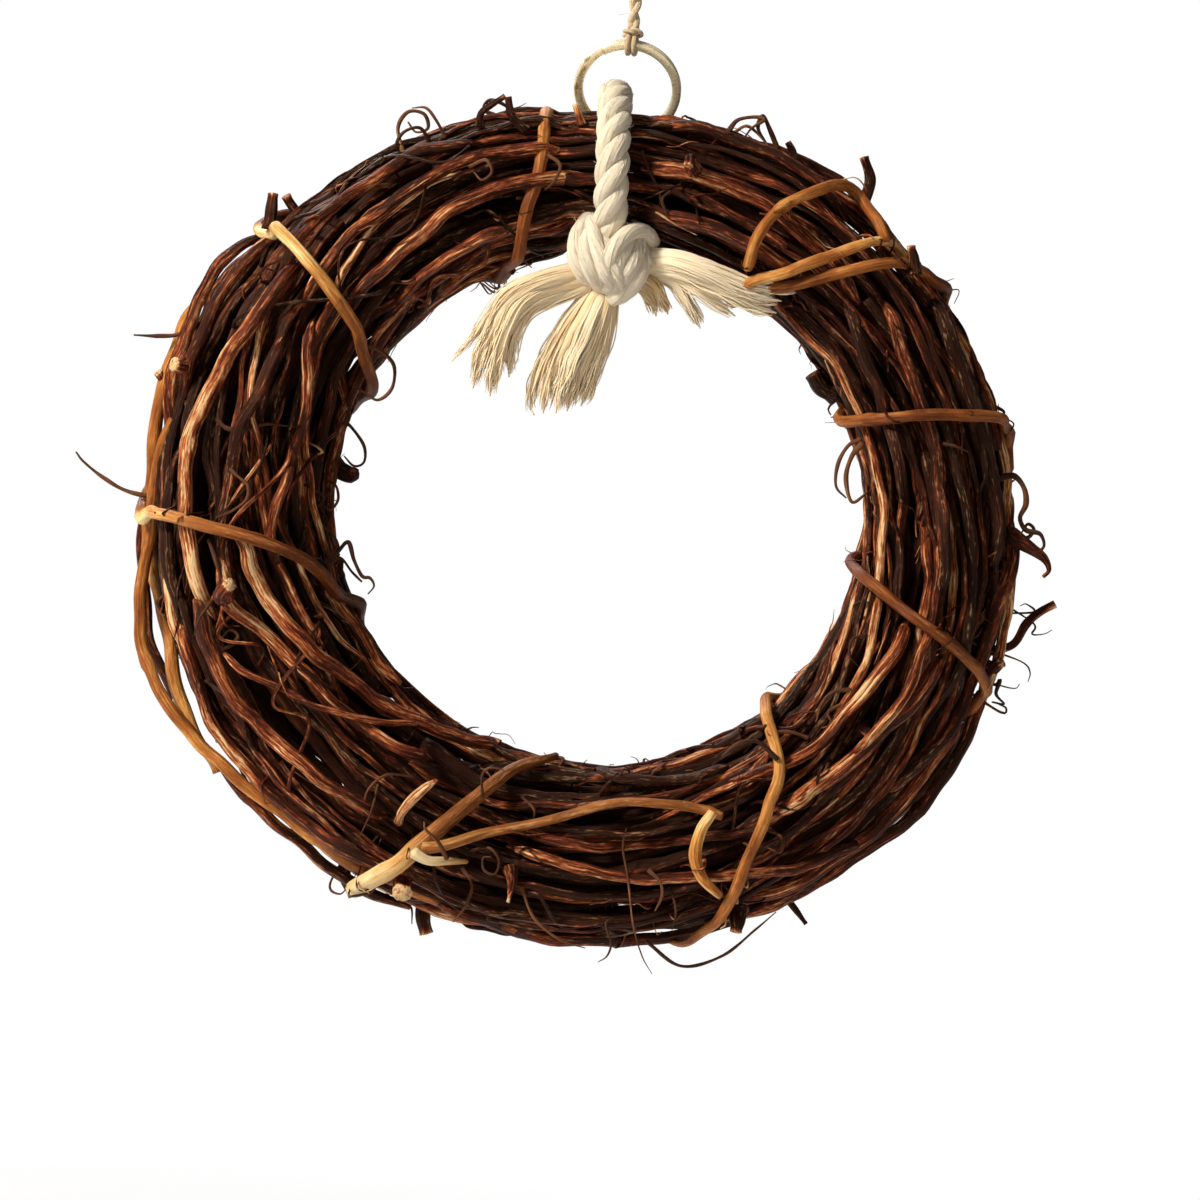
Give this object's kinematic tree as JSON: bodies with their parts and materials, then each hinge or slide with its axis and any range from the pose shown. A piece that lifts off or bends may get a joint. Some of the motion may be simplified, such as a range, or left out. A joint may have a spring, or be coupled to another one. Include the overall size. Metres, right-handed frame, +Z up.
{
  "type": "bird swing",
  "caption": "Wreath-shaped bird swing of wound vines with thin vine bindings, tied by a knotted cotton rope to a metal ring on a loop of jute twine.",
  "frame": {"origin": "inside of the hanging loop at its top, where a hook carries it", "axes": "+Z up along the twine, +X to the right seen from the front, +Y to the back through the wreath"},
  "size_m": [0.248, 0.0631, 0.2834],
  "materials": {
    "jute": "two-ply jute twine, dry and fuzzy",
    "ring_metal": "thin pale brass finish, lightly worn",
    "cotton": "three-strand twisted cotton rope, undyed cream",
    "vine": "dried red-brown vine with flaking bark",
    "vine_dark": "dried dark vine and tendrils",
    "binding": "thin golden tan vine, smoother",
    "twig": "pale cut twig with the bark worn off"
  },
  "bodies": {
    "hanging_cord": {"twine_loop": "jute", "twine_loop_knot": "jute", "twine_stem": "jute", "twine_hitch": "jute"},
    "ring": {"metal_ring": "ring_metal"},
    "swing": {"rope_loop": "cotton", "rope_knot": "cotton", "rope_tail_left": "cotton", "rope_tail_middle": "cotton", "rope_tail_right": "cotton", "rope_tail_short": "cotton", "outer_vine_1": "vine", "outer_vine_2": "vine", "outer_vine_3": "vine", "outer_vine_4": "vine", "outer_vine_5": "vine", "inner_vine_1": "vine_dark", "inner_vine_2": "vine_dark", "inner_vine_3": "vine_dark", "bowed_vine_1": "vine", "bowed_vine_2": "vine", "laid_vines_left": "vine", "laid_vines_right": "vine", "laid_vines_top": "vine", "laid_vines_bottom": "vine", "laid_vines_back": "vine", "binding_vine_right": "binding", "binding_vine_left": "binding", "binding_vine_top": "binding", "forked_twig": "twig", "front_shoot": "binding", "cut_stubs": "binding", "top_tendrils": "vine_dark", "left_tendrils": "vine_dark", "right_tendrils": "vine_dark", "inner_tendrils": "vine_dark", "bottom_tendrils": "vine_dark"}
  },
  "joints": [
    {"name": "front_back_swing", "type": "hinge", "parent": "hanging_cord", "child": "ring", "pos_m": [0, 0, -0.0461], "axis": [1, 0, 0], "range_deg": [-60, 60]},
    {"name": "side_swing", "type": "hinge", "parent": "ring", "child": "swing", "pos_m": [0, 0.0067, -0.05683], "axis": [0, 0.848, 0.5299], "range_deg": [-60, 60]}
  ]
}
